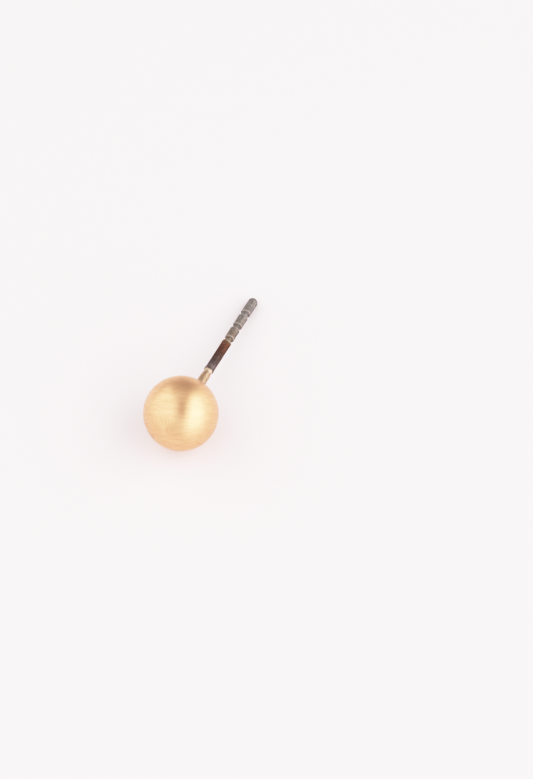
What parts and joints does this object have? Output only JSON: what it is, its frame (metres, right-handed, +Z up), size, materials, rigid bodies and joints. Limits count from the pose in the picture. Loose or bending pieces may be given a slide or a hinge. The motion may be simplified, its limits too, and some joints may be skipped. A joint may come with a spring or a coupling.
{
  "type": "ball stud earring",
  "caption": "Ball stud earring lying on a table: a brushed gold ball on a grooved steel ear post, which goes through a pierced earlobe and takes a clutch.",
  "frame": {"origin": "on the table that the stud lies on, under the middle of its box", "axes": "+Y in plan from the ball to the post's tip, +Z up from the table, +X to the right of the post seen from the ball"},
  "size_m": [0.006, 0.0168, 0.006],
  "materials": {
    "gold": "brushed gold plate",
    "post_steel": "drawn wire, heat tinted next to the stem"
  },
  "bodies": {
    "root": {"ball": "gold", "ear_post": "post_steel"}
  },
  "joints": []
}
